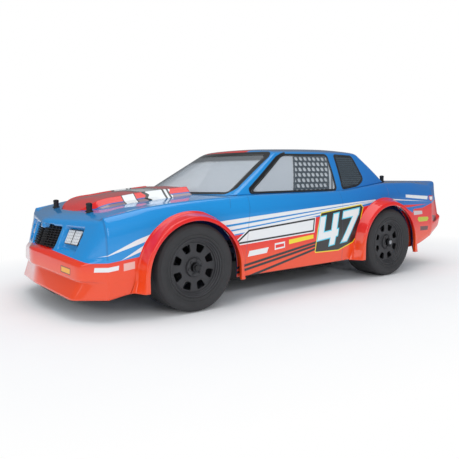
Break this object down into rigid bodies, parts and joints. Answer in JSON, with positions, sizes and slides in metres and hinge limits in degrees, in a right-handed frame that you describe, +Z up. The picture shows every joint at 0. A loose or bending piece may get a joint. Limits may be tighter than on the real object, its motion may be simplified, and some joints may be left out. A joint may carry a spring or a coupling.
{
  "type": "radio-controlled stock car",
  "caption": "Radio-controlled dirt-oval stock car: blue and orange-red clear-plastic shell on posts over a rear-drive chassis with steering front wheels.",
  "frame": {"origin": "on the floor under the middle of the car's length, on its centre line", "axes": "+Z up, nose towards -Y, the car's left side at +X"},
  "size_m": [0.25, 0.548, 0.1615],
  "materials": {
    "painted_shell": "gloss, blue over orange-red, painted from inside",
    "clear_window": "clear polycarbonate",
    "smoked_window": "smoked polycarbonate",
    "tyre": "matte rubber",
    "wheel_plastic": "satin black moulding",
    "chassis_plastic": "matte black glass-filled nylon",
    "steel": "satin steel",
    "black_steel": "blackened",
    "aluminium": "satin",
    "battery_wrap": "semi-gloss"
  },
  "bodies": {
    "root": {"chassis_tub": "chassis_plastic", "front_bumper": "chassis_plastic", "front_bulkhead": "chassis_plastic", "front_arms": "chassis_plastic", "front_hub_carriers": "chassis_plastic", "front_camber_links": "steel", "front_shock_tower": "chassis_plastic", "front_shocks": "aluminium", "steering_servo": "chassis_plastic", "gearbox": "chassis_plastic", "motor": "aluminium", "gear_cover": "chassis_plastic", "rear_arms": "chassis_plastic", "rear_hub_carriers": "chassis_plastic", "rear_camber_links": "steel", "rear_shock_tower": "chassis_plastic", "rear_shocks": "aluminium", "battery": "battery_wrap", "battery_strap": "chassis_plastic", "speed_controller": "chassis_plastic", "receiver_box": "chassis_plastic", "front_body_posts": "chassis_plastic", "front_post_bracket": "chassis_plastic", "rear_body_posts": "chassis_plastic", "rear_post_bracket": "chassis_plastic", "body_shell": "painted_shell", "windshield": "clear_window", "rear_window": "clear_window", "door_windows": "clear_window", "quarter_windows": "smoked_window"},
    "front_left_wheel_set": {"front_left_wheel": "wheel_plastic", "front_left_tyre": "tyre"},
    "front_right_wheel_set": {"front_right_wheel": "wheel_plastic", "front_right_tyre": "tyre"},
    "rear_left_wheel_set": {"rear_left_wheel": "wheel_plastic", "rear_left_tyre": "tyre", "rear_left_nut": "black_steel", "rear_left_driveshaft": "steel"},
    "rear_right_wheel_set": {"rear_right_wheel": "wheel_plastic", "rear_right_tyre": "tyre", "rear_right_nut": "black_steel", "rear_right_driveshaft": "steel"},
    "left_knuckle_set": {"left_knuckle": "chassis_plastic", "front_left_nut": "black_steel"},
    "right_knuckle_set": {"right_knuckle": "chassis_plastic", "front_right_nut": "black_steel"},
    "left_bellcrank_body": {"left_bellcrank": "chassis_plastic"},
    "right_bellcrank_body": {"right_bellcrank": "chassis_plastic"},
    "servo_horn_body": {"servo_horn": "chassis_plastic"},
    "servo_link_body": {"servo_link": "steel"},
    "drag_link_body": {"drag_link": "steel"},
    "left_tie_rod_body": {"left_tie_rod": "steel"},
    "right_tie_rod_body": {"right_tie_rod": "steel"}
  },
  "joints": [
    {"name": "left_steering", "type": "hinge", "parent": "root", "child": "left_knuckle_set", "pos_m": [0.084, -0.156, 0.042], "axis": [0, 0, 1], "range_deg": [-20, 20]},
    {"name": "right_steering", "type": "hinge", "parent": "root", "child": "right_knuckle_set", "pos_m": [-0.084, -0.156, 0.042], "axis": [0, 0, 1], "range_deg": [-20, 20]},
    {"name": "left_bellcrank_turn", "type": "hinge", "parent": "root", "child": "left_bellcrank_body", "pos_m": [0.022, -0.126, 0.035], "axis": [0, 0, 1], "range_deg": [-20, 20]},
    {"name": "right_bellcrank_turn", "type": "hinge", "parent": "root", "child": "right_bellcrank_body", "pos_m": [-0.022, -0.126, 0.035], "axis": [0, 0, 1], "range_deg": [-20, 20]},
    {"name": "servo_horn_turn", "type": "hinge", "parent": "root", "child": "servo_horn_body", "pos_m": [-0.022, -0.088, 0.04], "axis": [0, 0, 1], "range_deg": [-20, 20]},
    {"name": "drag_link_swing", "type": "hinge", "parent": "left_bellcrank_body", "child": "drag_link_body", "pos_m": [0.022, -0.138, 0.038], "axis": [0, 0, 1], "range_deg": [-20, 20]},
    {"name": "left_tie_rod_swing", "type": "hinge", "parent": "left_bellcrank_body", "child": "left_tie_rod_body", "pos_m": [0.022, -0.112, 0.038], "axis": [0, 0, 1], "range_deg": [-20, 20]},
    {"name": "right_tie_rod_swing", "type": "hinge", "parent": "right_bellcrank_body", "child": "right_tie_rod_body", "pos_m": [-0.022, -0.112, 0.038], "axis": [0, 0, 1], "range_deg": [-20, 20]},
    {"name": "servo_link_swing", "type": "hinge", "parent": "servo_horn_body", "child": "servo_link_body", "pos_m": [-0.01, -0.088, 0.044], "axis": [0, 0, 1], "range_deg": [-20, 20]},
    {"name": "front_left_spin", "type": "hinge", "parent": "left_knuckle_set", "child": "front_left_wheel_set", "pos_m": [0.102, -0.156, 0.042], "axis": [1, 0, 0], "continuous": true},
    {"name": "front_right_spin", "type": "hinge", "parent": "right_knuckle_set", "child": "front_right_wheel_set", "pos_m": [-0.102, -0.156, 0.042], "axis": [1, 0, 0], "continuous": true},
    {"name": "rear_left_spin", "type": "hinge", "parent": "root", "child": "rear_left_wheel_set", "pos_m": [0.102, 0.13, 0.042], "axis": [1, 0, 0], "continuous": true},
    {"name": "rear_right_spin", "type": "hinge", "parent": "root", "child": "rear_right_wheel_set", "pos_m": [-0.102, 0.13, 0.042], "axis": [1, 0, 0], "continuous": true}
  ],
  "couplings": [
    {"joint": "right_steering", "follows": "left_steering", "ratio": 1},
    {"joint": "left_bellcrank_turn", "follows": "left_steering", "ratio": 1},
    {"joint": "right_bellcrank_turn", "follows": "left_steering", "ratio": 1},
    {"joint": "servo_horn_turn", "follows": "left_steering", "ratio": 1},
    {"joint": "drag_link_swing", "follows": "left_steering", "ratio": -1},
    {"joint": "left_tie_rod_swing", "follows": "left_steering", "ratio": -1},
    {"joint": "right_tie_rod_swing", "follows": "left_steering", "ratio": -1},
    {"joint": "servo_link_swing", "follows": "left_steering", "ratio": -1}
  ]
}
